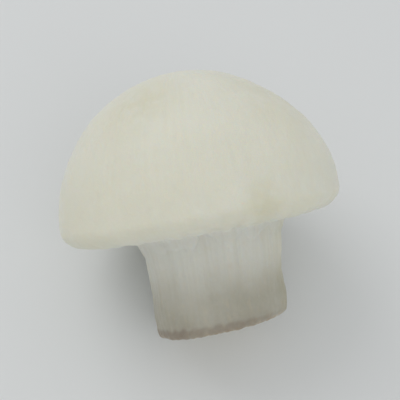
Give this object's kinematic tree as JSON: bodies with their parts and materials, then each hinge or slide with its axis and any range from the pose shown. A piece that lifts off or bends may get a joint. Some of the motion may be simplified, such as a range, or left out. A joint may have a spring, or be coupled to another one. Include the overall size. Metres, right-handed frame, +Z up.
{
  "type": "button mushroom",
  "caption": "Fresh white button mushroom with a domed closed cap, rolled margin and thick cut stem, lying on its side.",
  "frame": {"origin": "centre of the bounding box at its base, on the surface that the mushroom lies on", "axes": "+Z up. The cap's top faces +Y and up, the cut foot faces -Y and down, and X runs level across the cap"},
  "size_m": [0.0596, 0.057, 0.0529],
  "materials": {
    "mushroom_flesh": "satin"
  },
  "bodies": {
    "root": {"mushroom": "mushroom_flesh"}
  },
  "joints": []
}
